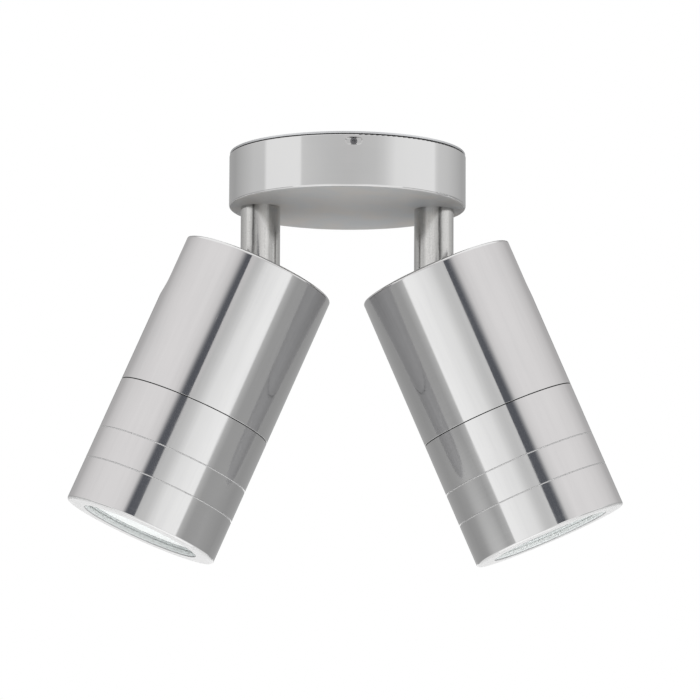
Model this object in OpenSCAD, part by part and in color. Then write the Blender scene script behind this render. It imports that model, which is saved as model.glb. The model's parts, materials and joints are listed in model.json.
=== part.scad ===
// Twin spotlight wall light: a round base cup, two swivelling stems and two tilting lamp heads.
// The wall face is z = 0 and the stems point along -Z. Sizes are in millimetres.

/* [Base] */
// Outside diameter of the round base
base_d = 90; // [89:0.5:110]
// Depth of the base from the wall to its front face
base_depth = 21; // [20:0.5:30]
// Wall thickness of the base cup
cup_wall = 2; // [1.6:0.1:2.2]
// Thickness of the base cup's front face
cup_face = 2.6; // [2:0.1:4]
// Radius of the base cup's front edge
cup_edge = 0.9; // [0.4:0.1:1.6]
// Radius inside the base cup, between its wall and its face
cup_fillet = 0.8; // [0.4:0.1:1]
// Thickness of the wall plate
plate_t = 0.8; // [0.6:0.1:1.6]
// How far the wall plate's edge stands back from the base's side
plate_inset = 0.2; // [0.1:0.1:0.8]
// Thickness of the seal between the wall plate and the cup
seal_t = 0.4; // [0.3:0.1:1]
// How far the seal's edge stands back from the base's side
seal_inset = 0.7; // [0.3:0.1:0.9]

/* [Wall fixing] */
// Distance between the two wall screws
wall_screw_pitch = 60; // [56:1:62]
// Width of each wall screw slot
wall_slot_w = 5; // [4:0.5:6]
// Length of each wall screw slot, end to end
wall_slot_len = 12; // [8:0.5:13]
// Bore of the cable entry grommet
cable_d = 8; // [6:0.5:10]
// Distance of the cable entry from the middle of the base
cable_entry_y = 13; // [12:0.5:14]

/* [Cup screws] */
// Diameter of the set screws in the side of the cup
side_screw_d = 2.5; // [2:0.1:2.8]
// Distance of the set screws from the wall
side_screw_z = 3.7; // [3.6:0.1:5]
// Width of the recess round each set screw
side_recess_w = 6.6; // [5:0.2:9]
// Height of the recess round each set screw
side_recess_h = 3; // [2.9:0.1:3.2]
// Slope of the recess, how far each side leans in
side_recess_lean = 0.5; // [0.1:0.1:0.8]
// Depth of the recess round each set screw
side_recess_t = 0.9; // [0.5:0.1:1.1]

/* [Stems] */
// Gap between a stem's washer and the wall of the cup
stem_margin = 1.5; // [1:0.1:3]
// Outside diameter of a stem
stem_d = 15; // [14:0.2:15.6]
// Length of a stem from the base's face to its pivot
stem_drop = 42.9; // [42:0.1:70]
// Diameter of the stem's neck, which turns in the cup
neck_d = 10; // [9:0.2:10.6]
// Bore for the lead through a stem
lead_bore_d = 5.6; // [5:0.1:6]
// Thickness of the swivel washer
swivel_washer_t = 1; // [0.6:0.1:1.4]
// Diameter of the swivel washer
swivel_washer_d = 17; // [16:0.5:17.5]
// Width of the locknut across its flats
locknut_af = 14; // [13:0.2:14.6]
// Height of the locknut
locknut_h = 5; // [3:0.5:5]

/* [Heads] */
// Outside diameter of a lamp head
head_d = 60; // [59:0.2:62]
// Length of a lamp head
head_len = 109.5; // [107:0.5:130]
// Length of the front cap
cap_len = 50; // [46:0.5:58]
// Wall thickness of the head
head_wall = 2.7; // [2.2:0.1:3]
// Wall thickness of the head round its pivot
rear_wall_side = 4.7; // [4.4:0.1:5]
// Thickness of the head's rear wall
rear_wall = 3; // [2:0.2:4]
// Radius of the head's rear edge
rear_edge = 1.2; // [0.4:0.1:2]
// Radius of the cap's front edge
front_edge = 1; // [0.4:0.1:2]
// Small radius of the body's edge at the parting line
part_edge = 0.15; // [0.1:0.05:0.3]
// Width of the fine slit at the parting line
part_slit_w = 0.35; // [0.3:0.05:0.6]
// Depth of the fine slit at the parting line
part_slit_t = 0.6; // [0.3:0.05:0.7]
// Tilt of a head from straight ahead, as shown
head_tilt = 23.5; // [0:0.5:80]

/* [Front cap] */
// Diameter of the light opening
mouth_d = 45.5; // [40:0.5:47]
// Thickness of the front lip
lip_t = 1; // [0.8:0.1:3]
// Chamfer inside the front lip
lip_chamfer = 0.3; // [0.1:0.1:0.6]
// Distance of the first ring groove from the front
groove_a = 17; // [10:0.5:22]
// Distance of the second ring groove from the front
groove_b = 29.5; // [24:0.5:36]
// Width of the ring grooves, which are V-shaped
groove_w = 0.5; // [0.3:0.1:1]
// Depth of the ring grooves
groove_t = 0.3; // [0.1:0.1:0.6]
// Length of the cap's spigot inside the head
spigot_len = 10; // [6:0.5:14]
// Wall thickness of the spigot
spigot_wall = 1.5; // [1.1:0.1:1.7]

/* [Glass] */
// Thickness of the front glass
glass_t = 3; // [2:0.2:4]
// Thickness of the glass seal
glass_seal_t = 0.6; // [0.4:0.1:1.4]
// Height of the ring that holds the glass
glass_ring_h = 3; // [2:0.2:4]
// Width of the ring that holds the glass
glass_ring_w = 2.4; // [1.6:0.1:3]

/* [Pivot] */
// Depth of the pivot below the head's rear face
pivot_depth = 17; // [16.5:0.1:18]
// Distance of the pivot from the head's axis, away from the slot
pivot_offset = 8.2; // [7:0.1:9]
// Diameter of the pivot bolt
pivot_d = 6; // [4:0.2:6.4]
// Thickness of the bracket's cheeks
cheek_t = 3; // [2:0.1:3.4]
// Radius of the bracket's cheeks round the pivot
cheek_r = 7; // [6.4:0.1:7.4]
// Thickness of the bracket's base
bracket_base_t = 2.5; // [2:0.1:3.4]
// Width of the bracket along the slot
bracket_w = 16; // [15:0.2:16.4]
// Thickness of the friction washers
friction_washer_t = 0.8; // [0.5:0.1:1.2]
// Diameter of the friction washers
friction_washer_d = 13; // [10:0.2:13.4]
// Width of the pivot nut across its flats
pivot_nut_af = 10; // [9.2:0.2:10.4]
// Height of the pivot nut
pivot_nut_h = 5; // [3:0.2:5.6]
// Diameter of the pivot bolt's head
bolt_head_d = 10; // [9:0.2:11]
// Height of the pivot bolt's head
bolt_head_h = 4; // [2.6:0.2:5.6]

/* [Lamp] */
// Diameter of the reflector lamp
lamp_d = 50; // [46:0.5:50.4]
// Gap between the reflector lamp and the front glass
lamp_gap = 6.6; // [5.4:0.1:9]
// Distance between the lamp's pins
pin_pitch = 10; // [9:0.2:11]
// Diameter of the lampholder
holder_d = 28; // [26:0.5:31]
// Height of the lampholder
holder_h = 11; // [9.6:0.2:12]
// Height of the posts that carry the lampholder
post_h = 8; // [7:0.2:9]
// Thickness of the bulkhead
bulkhead_t = 3; // [2.4:0.2:4]

/* [Hidden] */
$fn = 96;

// Clearances
run_gap = 0.05;
thread_gap = 0.03;
side_gap = 0.1;
slot_gap = 0.2;
swing_gap = 0.5;
overrun = 1;

// Colours
steel = [0.78, 0.78, 0.77];
brushed = [0.66, 0.66, 0.65];
dark_steel = [0.36, 0.36, 0.37];
zinc = [0.72, 0.73, 0.74];
rubber = [0.08, 0.08, 0.08];
clear = [0.85, 0.92, 0.95, 0.4];
cream = [0.93, 0.91, 0.86];
white = [0.95, 0.95, 0.95];
brass = [0.80, 0.66, 0.36];
sleeve = [0.85, 0.85, 0.83];

// Base
base_r = base_d / 2;
cup_in_r = base_r - cup_wall;
cup_rim_z = -(plate_t + seal_t);
cup_floor_z = -(base_depth - cup_face);
rim_edge = 0.3;
plate_edge = 0.2;
plate_r = base_r - plate_inset;
stem_x = cup_in_r - swivel_washer_d / 2 - stem_margin;

// Bent tabs of the wall plate and the set screws that bite in them
tab_w = 10;
tab_t = 2.5;
tab_h = 8;
tab_y = sqrt(pow(cup_in_r, 2) - pow(tab_w / 2, 2)) - slot_gap;
screw_sink = 0.1;
screw_tip = 0.6;
screw_socket_af = 1.3;
screw_socket_t = 1;

// Cable entry grommet
grommet_wall = 1.5;
grommet_flange = 1.6;
grommet_flange_t = 2;
cable_hole_r = cable_d / 2 + grommet_wall;

// Terminal block, three poles in a row
pole_pitch = 9;
pole_count = 3;
block_len = 16;
block_y = 6;
block_low_h = 8;
block_h = 12;
block_margin = 0.5;
tower_w = 7;
tower_len = 13;
wire_hole_r = 1.6;
wire_hole_z = 4.8;
clamp_screw_r = 1.6;
clamp_screw_pitch = 7;
clamp_screw_sink = 1;
clamp_screw_len = 4;
clamp_slot_w = 0.6;

// Earth stud on the wall plate
earth_x = 22;
earth_y = 18;
earth_r = 2;
earth_len = 8;
earth_nut_af = 7;
earth_nut_h = 3.2;

// Stem and its seals
stem_r = stem_d / 2;
neck_r = neck_d / 2;
neck_stick = 1.5;
neck_top_z = cup_floor_z + swivel_washer_t + locknut_h + neck_stick;
pivot_z = -(base_depth + stem_drop);
stem_seal_section_r = 0.55;
stem_seal_r = (stem_r + neck_r) / 2;
stem_groove_w = 2 * (stem_seal_section_r + run_gap);
flat_rise_share = 1.02;
flat_half = stem_r - friction_washer_t;
exit_rise = 10;
exit_z = pivot_z + exit_rise;
exit_bend_r = 4.6;
lead_bore_r = lead_bore_d / 2;

// Leads
lead_r = 2.2;
lead_lift = 2;
lead_z = -(plate_t + lead_lift + lead_r);
lead_up_r = lead_z - neck_top_z;
lead_flat_r = 5;

// Head, in its own frame: the rear face is z = 0, the front is -head_len and +X is the slot's side
head_r = head_d / 2;
bore_r = head_r - head_wall;
chamber_r = head_r - rear_wall_side;
parting_z = -(head_len - cap_len);
slot_r = stem_r + slot_gap;
seat_z = -(pivot_depth + stem_r + swing_gap + bracket_base_t);
bulkhead_z = seat_z - bulkhead_t;
boss_r = 3.6;
boss_bite = 0.6;
boss_y = chamber_r - boss_r + boss_bite;
boss_x = -2;
small_screw_r = 1.5;
small_head_r = 2.75;
small_head_h = 1.6;
small_socket_af = 2;
small_socket_t = 0.9;
boss_screw_len = 9;

// Cap and glass
spigot_r = bore_r - run_gap;
spigot_in_r = spigot_r - spigot_wall;
collar_len = 8;
mouth_r = mouth_d / 2;
cap_seal_section_r = 0.7;
cap_seal_r = spigot_r + run_gap + cap_seal_section_r;
cap_seal_bore_r = cap_seal_r + cap_seal_section_r + run_gap;
cap_seal_depth = 2 * (cap_seal_section_r + run_gap);
lip_z = -(head_len - lip_t);
glass_seal_z = lip_z + glass_seal_t;
glass_z = glass_seal_z + glass_t;
glass_r = max(bore_r - 2 * slot_gap, mouth_r + slot_gap + glass_ring_w / 2);
glass_edge = 0.3;
cap_bore_r = glass_r + 2 * slot_gap;
ring_r = cap_bore_r - run_gap;
ring_notch_w = 2.4;
ring_notch_t = 1.2;

// Bracket and pivot
cheek_in = stem_r + side_gap;
cheek_out = cheek_in + cheek_t;
bracket_ear = 5.4;
bracket_half = cheek_out + bracket_ear;
bracket_screw_y = cheek_out + bracket_ear / 2;
pivot_r = pivot_d / 2;
bolt_stick = 1;
bolt_socket_af = 5;
bolt_socket_t = 2;
washer_hole_gap = 0.2;

// Lampholder and lamp
holder_z = bulkhead_z - post_h;
holder_front_z = holder_z - holder_h;
holder_flat_half = 10;
post_y = 9.5;
post_r = 2.8;
post_bore_depth_share = 0.9;
holder_screw_sink = 3;
holder_screw_grip = 6;
pin_r = 1.2;
pin_head_r = 2.5;
pin_head_h = 2;
pin_len = 7;
pin_hole_r = 3;
pin_hole_depth = 8.4;
lamp_r = lamp_d / 2;
lamp_front_z = glass_z + lamp_gap;
lamp_len = holder_front_z - lamp_front_z;
lamp_cap_r = 12.5;
lamp_cap_share = 0.26;
lamp_cone_share = 0.74;
lamp_rim_step = 1;
lens_inset = 2;
lens_t = 2.4;
lens_proud = 0.8;
lens_edge = 0.6;

// Lead and grommet of the head
entry_hole_r = 3.2;
entry_flange_r = 4;
entry_x = -(chamber_r - entry_flange_r - swing_gap);
entry_flange_t = 1.4;
lamp_lead_bend_r = (post_h - entry_flange_t - run_gap) / 2;
lamp_lead_tail = 2;

// Shared shapes

// Half profile of a bar about the Z axis, with its two outer corners rounded
module bar_profile(r, lo, hi, edge_lo, edge_hi) {
    translate([0, lo])
        square([r - edge_lo, edge_lo]);
    translate([0, lo + edge_lo])
        square([r, hi - lo - edge_lo - edge_hi]);
    translate([0, hi - edge_hi])
        square([r - edge_hi, edge_hi]);
    translate([r - edge_lo, lo + edge_lo])
        circle(r = edge_lo);
    translate([r - edge_hi, hi - edge_hi])
        circle(r = edge_hi);
}

// Half profile of a plain band from r_in to r_out
module band_profile(r_in, r_out, lo, hi) {
    translate([r_in, lo])
        square([r_out - r_in, hi - lo]);
}

// Ring of round section, such as a sealing ring
module o_ring(r, section_r) {
    rotate_extrude()
        translate([r, 0])
            circle(r = section_r);
}

// Hexagonal bar, standing on z = 0
module hex_bar(af, h) {
    cylinder(r = af / 2 / cos(30), h = h, $fn = 6);
}

// Hexagonal nut with a hole and chamfered corners, standing on z = 0
module hex_nut(af, h, hole_r) {
    corner_r = af / 2 / cos(30);
    chamfer = corner_r - af / 2;
    difference() {
        intersection() {
            hex_bar(af, h);
            rotate_extrude()
                polygon([
                    [0, 0],
                    [af / 2, 0],
                    [corner_r, chamfer / 2],
                    [corner_r, h - chamfer / 2],
                    [af / 2, h],
                    [0, h]
                ]);
        }
        translate([0, 0, -overrun])
            cylinder(r = hole_r, h = h + 2 * overrun);
    }
}

// Cap head screw: the head's underside is z = 0, the shank points along -Z
module cap_screw(shank_r, len, head_r, head_h, socket_af, socket_t) {
    edge = head_h / 4;
    difference() {
        union() {
            translate([0, 0, -len])
                cylinder(r = shank_r, h = len + edge);
            rotate_extrude()
                bar_profile(head_r, 0, head_h, edge / 2, edge);
        }
        translate([0, 0, head_h - socket_t])
            hex_bar(socket_af, socket_t + overrun);
    }
}

// Quarter bend of a lead, from +X to +Y about the Z axis
module quarter_bend(bend_r) {
    rotate_extrude(angle = 90)
        translate([bend_r, 0])
            circle(r = lead_r);
}

// Round-ended slot through a plate: width w, total length len along Y
module slot_cut(w, len, h) {
    cube_len = len - w;
    translate([-w / 2, -cube_len / 2, 0])
        cube([w, cube_len, h]);
    for (s = [-1, 1])
        translate([0, s * cube_len / 2, 0])
            cylinder(r = w / 2, h = h);
}

// Round-ended recess that widens upwards by lean on every side, from z = 0 to h
module sloped_cut(w, len, h, lean) {
    reach = len - w;
    rotate([90, 0, 0])
        translate([0, 0, -reach / 2])
            linear_extrude(height = reach)
                polygon([[lean - w / 2, 0], [w / 2 - lean, 0], [w / 2, h], [-w / 2, h]]);
    for (s = [-1, 1])
        translate([0, s * reach / 2, 0])
            cylinder(r1 = w / 2 - lean, r2 = w / 2, h = h);
}

module on_right() {
    children();
}

module on_left() {
    mirror([1, 0, 0])
        children();
}

// Brings a head from its own frame to the right-hand pivot, at its tilt
module at_pivot() {
    translate([stem_x, 0, pivot_z])
        rotate([0, -head_tilt, 0])
            translate([pivot_offset, 0, pivot_depth])
                children();
}

// Turns +Z to the direction of the pivot bolt, at the pivot
module along_pivot() {
    translate([-pivot_offset, 0, -pivot_depth])
        rotate([-90, 0, 0])
            children();
}

// Base

module wall_plate() {
    color(zinc)
        difference() {
            union() {
                rotate_extrude()
                    bar_profile(plate_r, -plate_t, 0, plate_edge, plate_edge);
                for (s = [-1, 1])
                    translate([-tab_w / 2, s * (tab_y - tab_t / 2) - tab_t / 2, -tab_h])
                        cube([tab_w, tab_t, tab_h - plate_edge]);
            }
            for (s = [-1, 1]) {
                translate([0, s * wall_screw_pitch / 2, -plate_t - overrun])
                    slot_cut(wall_slot_w, wall_slot_len, plate_t + 2 * overrun);
                rotate([0, 0, s * 90])
                    translate([tab_y - tab_t - overrun, 0, -side_screw_z])
                        rotate([0, 90, 0])
                            cylinder(r = side_screw_d / 2 + thread_gap, h = tab_t + 2 * overrun);
            }
            translate([0, -cable_entry_y, -plate_t - overrun])
                cylinder(r = cable_hole_r, h = plate_t + 2 * overrun);
        }
}

module base_seal() {
    color(rubber)
        translate([0, 0, -plate_t])
            rotate_extrude()
                band_profile(cup_in_r, base_r - seal_inset, -seal_t, 0);
}

module base_cup() {
    color(steel)
        difference() {
            rotate_extrude()
                difference() {
                    bar_profile(base_r, -base_depth, cup_rim_z, cup_edge, rim_edge);
                    bar_profile(cup_in_r, cup_floor_z, cup_rim_z + 2 * overrun, cup_fillet, overrun);
                }
            for (s = [-1, 1]) {
                translate([s * stem_x, 0, -base_depth - overrun])
                    cylinder(r = neck_r + run_gap, h = cup_face + 2 * overrun);
                rotate([0, 0, s * 90])
                    translate([base_r, 0, -side_screw_z]) {
                        translate([-side_recess_t, 0, 0])
                            rotate([0, 90, 0])
                                sloped_cut(
                                    side_recess_h,
                                    side_recess_w,
                                    side_recess_t,
                                    side_recess_lean
                                );
                        translate([-cup_wall - overrun, 0, 0])
                            rotate([0, 90, 0])
                                cylinder(r = side_screw_d / 2 + run_gap, h = cup_wall + 2 * overrun);
                    }
            }
        }
}

module side_screws() {
    screw_out = base_r - side_recess_t - screw_sink;
    screw_in = tab_y - tab_t - screw_tip;
    color(dark_steel)
        for (s = [-1, 1])
            rotate([0, 0, s * 90])
                translate([screw_in, 0, -side_screw_z])
                    rotate([0, 90, 0])
                        difference() {
                            cylinder(r = side_screw_d / 2, h = screw_out - screw_in);
                            translate([0, 0, screw_out - screw_in - screw_socket_t])
                                hex_bar(screw_socket_af, screw_socket_t + overrun);
                        }
}

module cable_grommet() {
    color(rubber)
        translate([0, -cable_entry_y, 0])
            rotate_extrude() {
                band_profile(cable_d / 2, cable_hole_r - run_gap, -plate_t, 0);
                band_profile(
                    cable_d / 2,
                    cable_hole_r + grommet_flange,
                    -plate_t - grommet_flange_t,
                    -plate_t
                );
            }
}

module terminal_block() {
    block_w = pole_count * pole_pitch + 2 * block_margin;
    color(white)
        translate([0, block_y, -plate_t])
            difference() {
                union() {
                    translate([-block_w / 2, 0, -block_low_h])
                        cube([block_w, block_len, block_low_h]);
                    for (i = [-1 : 1])
                        translate([i * pole_pitch - tower_w / 2, (block_len - tower_len) / 2, -block_h])
                            cube([tower_w, tower_len, block_h]);
                }
                for (i = [-1 : 1]) {
                    translate([i * pole_pitch, block_len + overrun, -wire_hole_z])
                        rotate([90, 0, 0])
                            cylinder(r = wire_hole_r, h = block_len / 4 + overrun);
                    for (s = [-1, 1])
                        translate([
                            i * pole_pitch,
                            block_len / 2 + s * clamp_screw_pitch / 2,
                            -block_h - overrun
                        ])
                            cylinder(
                                r = clamp_screw_r + run_gap,
                                h = clamp_screw_len + clamp_screw_sink + overrun
                            );
                }
            }
}

module terminal_screws() {
    color(brass)
        translate([0, block_y + block_len / 2, -plate_t - block_h + clamp_screw_sink])
            for (i = [-1 : 1], s = [-1, 1])
                translate([i * pole_pitch, s * clamp_screw_pitch / 2, 0])
                    difference() {
                        cylinder(r = clamp_screw_r, h = clamp_screw_len);
                        translate([-clamp_screw_r - overrun, -clamp_slot_w / 2, -clamp_slot_w])
                            cube([2 * (clamp_screw_r + overrun), clamp_slot_w, 2 * clamp_slot_w]);
                    }
}

module earth_stud() {
    color(zinc)
        translate([earth_x, earth_y, -plate_t - earth_len])
            cylinder(r = earth_r, h = earth_len);
}

module earth_nut() {
    color(brass)
        translate([earth_x, earth_y, -plate_t - earth_nut_h])
            hex_nut(earth_nut_af, earth_nut_h, earth_r + thread_gap);
}

// One lead from its pole of the terminal block to the right-hand stem
module base_lead() {
    run = stem_x - lead_up_r - pole_pitch - lead_flat_r;
    translate([stem_x - lead_up_r, 0, neck_top_z])
        rotate([90, 0, 0])
            quarter_bend(lead_up_r);
    translate([pole_pitch + lead_flat_r, 0, lead_z])
        rotate([0, 90, 0])
            cylinder(r = lead_r, h = run);
    translate([pole_pitch + lead_flat_r, lead_flat_r, lead_z])
        rotate([0, 0, 180])
            quarter_bend(lead_flat_r);
    translate([pole_pitch, lead_flat_r, lead_z])
        rotate([-90, 0, 0])
            cylinder(r = lead_r, h = block_y - lead_flat_r);
}

module base_leads() {
    color(sleeve) {
        on_left()
            base_lead();
        on_right()
            base_lead();
    }
}

// Stems, drawn for the right-hand side

module stem() {
    flat_rise = stem_r * flat_rise_share;
    color(brushed)
        translate([stem_x, 0, 0])
            difference() {
                union() {
                    intersection() {
                        translate([0, 0, pivot_z - stem_r])
                            cylinder(r = stem_r, h = stem_drop + stem_r);
                        union() {
                            translate([0, stem_r + overrun, pivot_z])
                                rotate([90, 0, 0])
                                    cylinder(r = stem_r, h = 2 * (stem_r + overrun));
                            translate([-stem_r - overrun, -stem_r - overrun, pivot_z])
                                cube([2 * (stem_r + overrun), 2 * (stem_r + overrun), stem_drop + overrun]);
                        }
                    }
                    translate([0, 0, -base_depth - overrun])
                        cylinder(r = neck_r, h = neck_top_z + base_depth + overrun);
                }
                for (s = [-1, 1])
                    translate([
                        -stem_r - overrun,
                        s * (flat_half + stem_r) - stem_r,
                        pivot_z - stem_r - overrun
                    ])
                        cube([2 * (stem_r + overrun), 2 * stem_r, stem_r + overrun + flat_rise]);
                translate([0, stem_r + overrun, pivot_z])
                    rotate([90, 0, 0])
                        cylinder(r = pivot_r + run_gap, h = 2 * (stem_r + overrun));
                translate([0, 0, exit_z - lead_bore_r])
                    cylinder(r = lead_bore_r, h = neck_top_z - exit_z + lead_bore_r + overrun);
                for (lift = [0, exit_bend_r])
                    translate([-stem_r - overrun, 0, exit_z + lift])
                        rotate([0, 90, 0])
                            cylinder(r = lead_bore_r, h = stem_r + overrun);
                translate([-stem_r - overrun, -lead_bore_r, exit_z])
                    cube([stem_r + overrun, 2 * lead_bore_r, exit_bend_r]);
                translate([0, 0, -base_depth])
                    rotate_extrude()
                        band_profile(
                            stem_seal_r - stem_groove_w / 2,
                            stem_seal_r + stem_groove_w / 2,
                            -stem_groove_w,
                            overrun
                        );
            }
}

module stem_seal() {
    color(rubber)
        translate([stem_x, 0, -base_depth - stem_groove_w / 2])
            o_ring(stem_seal_r, stem_seal_section_r);
}

module swivel_washer() {
    color(zinc)
        translate([stem_x, 0, cup_floor_z])
            rotate_extrude()
                band_profile(neck_r + thread_gap, swivel_washer_d / 2, 0, swivel_washer_t);
}

module locknut() {
    color(brass)
        translate([stem_x, 0, cup_floor_z + swivel_washer_t])
            hex_nut(locknut_af, locknut_h, neck_r + thread_gap);
}

module stem_lead() {
    color(sleeve)
        translate([stem_x, 0, 0]) {
            translate([0, 0, exit_z + exit_bend_r])
                cylinder(r = lead_r, h = neck_top_z - exit_z - exit_bend_r);
            translate([-exit_bend_r, 0, exit_z + exit_bend_r])
                rotate([90, 0, 0])
                    rotate([0, 0, -90])
                        quarter_bend(exit_bend_r);
            translate([-stem_r, 0, exit_z])
                rotate([0, 90, 0])
                    cylinder(r = lead_r, h = stem_r - exit_bend_r);
        }
}

// Heads, drawn in their own frame and brought to the right-hand pivot

module head_body() {
    color(steel)
        at_pivot()
            difference() {
                union() {
                    rotate_extrude()
                        difference() {
                            bar_profile(head_r, parting_z, 0, part_edge, rear_edge);
                            band_profile(0, chamber_r, seat_z - overrun, -rear_wall);
                            band_profile(0, bore_r, parting_z - overrun, seat_z);
                            band_profile(0, cap_seal_bore_r, parting_z - overrun, parting_z + cap_seal_depth);
                        }
                    for (s = [-1, 1])
                        translate([boss_x, s * boss_y, seat_z])
                            cylinder(r = boss_r, h = -seat_z - rear_wall / 2);
                }
                for (s = [-1, 1])
                    translate([boss_x, s * boss_y, seat_z - overrun])
                        cylinder(r = small_screw_r + thread_gap, h = boss_screw_len + 2 * overrun);
                translate([-pivot_offset, 0, -rear_wall - overrun])
                    cylinder(r = slot_r, h = rear_wall + 2 * overrun);
                translate([-pivot_offset, -slot_r, -pivot_depth])
                    cube([pivot_offset + head_r + overrun, 2 * slot_r, pivot_depth + overrun]);
                translate([-pivot_offset, 0, -pivot_depth])
                    rotate([0, 90, 0])
                        cylinder(r = slot_r, h = pivot_offset + head_r + overrun);
            }
}

module front_cap() {
    color(steel)
        at_pivot()
            rotate_extrude()
                difference() {
                    union() {
                        bar_profile(head_r, -head_len, parting_z, front_edge, part_edge);
                        band_profile(0, spigot_r, parting_z - overrun, parting_z + spigot_len);
                    }
                    band_profile(0, cap_bore_r, lip_z, parting_z - collar_len);
                    band_profile(
                        0,
                        spigot_in_r,
                        parting_z - collar_len - overrun,
                        parting_z + spigot_len + overrun
                    );
                    band_profile(0, mouth_r, -head_len - overrun, lip_z + overrun);
                    polygon([
                        [mouth_r - overrun, -head_len - overrun],
                        [mouth_r + lip_chamfer + overrun, -head_len - overrun],
                        [mouth_r - overrun, -head_len + lip_chamfer + overrun]
                    ]);
                    band_profile(
                        head_r - part_slit_t,
                        head_r + overrun,
                        parting_z - part_slit_w,
                        parting_z + overrun
                    );
                    for (from_front = [groove_a, groove_b])
                        translate([head_r, from_front - head_len])
                            polygon([
                                [-groove_t, 0],
                                [groove_t, -groove_w],
                                [groove_t, groove_w]
                            ]);
                }
}

module cap_seal() {
    color(rubber)
        at_pivot()
            translate([0, 0, parting_z + cap_seal_depth / 2])
                o_ring(cap_seal_r, cap_seal_section_r);
}

module glass_seal() {
    color(white)
        at_pivot()
            rotate_extrude()
                band_profile(mouth_r + slot_gap, glass_r, lip_z, glass_seal_z);
}

module glass() {
    color(clear)
        at_pivot()
            rotate_extrude()
                bar_profile(glass_r, glass_seal_z, glass_z, glass_edge, glass_edge);
}

module glass_ring() {
    color(zinc)
        at_pivot()
            difference() {
                rotate_extrude()
                    band_profile(ring_r - glass_ring_w, ring_r, glass_z, glass_z + glass_ring_h);
                for (s = [0, 180])
                    rotate([0, 0, s])
                        translate([0, -ring_notch_w / 2, glass_z + glass_ring_h - ring_notch_t])
                            cube([head_r, ring_notch_w, ring_notch_t + overrun]);
            }
}

module lamp_body() {
    neck_z = holder_front_z - lamp_len * lamp_cap_share;
    rim_z = holder_front_z - lamp_len * lamp_cone_share;
    color(white)
        at_pivot()
            rotate_extrude()
                difference() {
                    polygon([
                        [0, holder_front_z],
                        [lamp_cap_r, holder_front_z],
                        [lamp_cap_r, neck_z],
                        [lamp_cap_r + lamp_rim_step, neck_z],
                        [lamp_r - lamp_rim_step, rim_z],
                        [lamp_r, rim_z],
                        [lamp_r, lamp_front_z + lamp_rim_step],
                        [lamp_r - lamp_rim_step, lamp_front_z],
                        [0, lamp_front_z]
                    ]);
                    band_profile(
                        0,
                        lamp_r - lens_inset,
                        lamp_front_z - overrun,
                        lamp_front_z + lens_t - lens_proud
                    );
                }
}

module lamp_lens() {
    color(clear)
        at_pivot()
            rotate_extrude()
                bar_profile(
                    lamp_r - lens_inset - run_gap,
                    lamp_front_z - lens_proud,
                    lamp_front_z + lens_t - lens_proud,
                    lens_edge,
                    lens_edge / 2
                );
}

module lamp_pins() {
    color(brass)
        at_pivot()
            for (s = [-1, 1])
                translate([s * pin_pitch / 2, 0, holder_front_z]) {
                    cylinder(r = pin_r, h = pin_len);
                    translate([0, 0, pin_len - pin_head_h])
                        cylinder(r = pin_head_r, h = pin_head_h);
                }
}

module lampholder() {
    color(cream)
        at_pivot()
            difference() {
                intersection() {
                    translate([0, 0, holder_front_z])
                        cylinder(r = holder_d / 2, h = holder_h);
                    translate([-holder_flat_half, -holder_d, holder_front_z])
                        cube([2 * holder_flat_half, 2 * holder_d, holder_h]);
                }
                for (s = [-1, 1]) {
                    translate([s * pin_pitch / 2, 0, holder_front_z - overrun])
                        cylinder(r = pin_hole_r, h = pin_hole_depth + overrun);
                    translate([0, s * post_y, holder_front_z - overrun])
                        cylinder(r = small_screw_r + slot_gap, h = holder_h + 2 * overrun);
                    translate([0, s * post_y, holder_front_z - overrun])
                        cylinder(r = small_head_r + slot_gap, h = holder_screw_sink + overrun);
                }
            }
}

module holder_screws() {
    color(zinc)
        at_pivot()
            for (s = [-1, 1])
                translate([0, s * post_y, holder_front_z + holder_screw_sink])
                    rotate([180, 0, 0])
                        cap_screw(
                            small_screw_r,
                            holder_h - holder_screw_sink + holder_screw_grip,
                            small_head_r,
                            small_head_h,
                            small_socket_af,
                            small_socket_t
                        );
}

module bulkhead() {
    color(zinc)
        at_pivot()
            difference() {
                union() {
                    translate([0, 0, bulkhead_z])
                        cylinder(r = bore_r - side_gap, h = bulkhead_t);
                    for (s = [-1, 1])
                        translate([0, s * post_y, bulkhead_z - post_h])
                            cylinder(r = post_r, h = post_h + bulkhead_t / 2);
                }
                for (s = [-1, 1]) {
                    translate([0, s * post_y, holder_z - overrun])
                        cylinder(
                            r = small_screw_r + thread_gap,
                            h = post_h * post_bore_depth_share + overrun
                        );
                    translate([boss_x, s * boss_y, bulkhead_z - overrun])
                        cylinder(r = small_screw_r + slot_gap, h = bulkhead_t + 2 * overrun);
                    translate([-pivot_offset, s * bracket_screw_y, bulkhead_z - overrun])
                        cylinder(r = small_screw_r + slot_gap, h = bulkhead_t + 2 * overrun);
                }
                translate([entry_x, 0, bulkhead_z - overrun])
                    cylinder(r = entry_hole_r, h = bulkhead_t + 2 * overrun);
            }
}

module bulkhead_screws() {
    color(dark_steel)
        at_pivot()
            translate([0, 0, bulkhead_z])
                for (s = [-1, 1]) {
                    translate([boss_x, s * boss_y, 0])
                        rotate([180, 0, 0])
                            cap_screw(
                                small_screw_r,
                                bulkhead_t + boss_screw_len,
                                small_head_r,
                                small_head_h,
                                small_socket_af,
                                small_socket_t
                            );
                    translate([-pivot_offset, s * bracket_screw_y, 0])
                        rotate([180, 0, 0])
                            cap_screw(
                                small_screw_r,
                                bulkhead_t + bracket_base_t,
                                small_head_r,
                                small_head_h,
                                small_socket_af,
                                small_socket_t
                            );
                }
}

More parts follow.
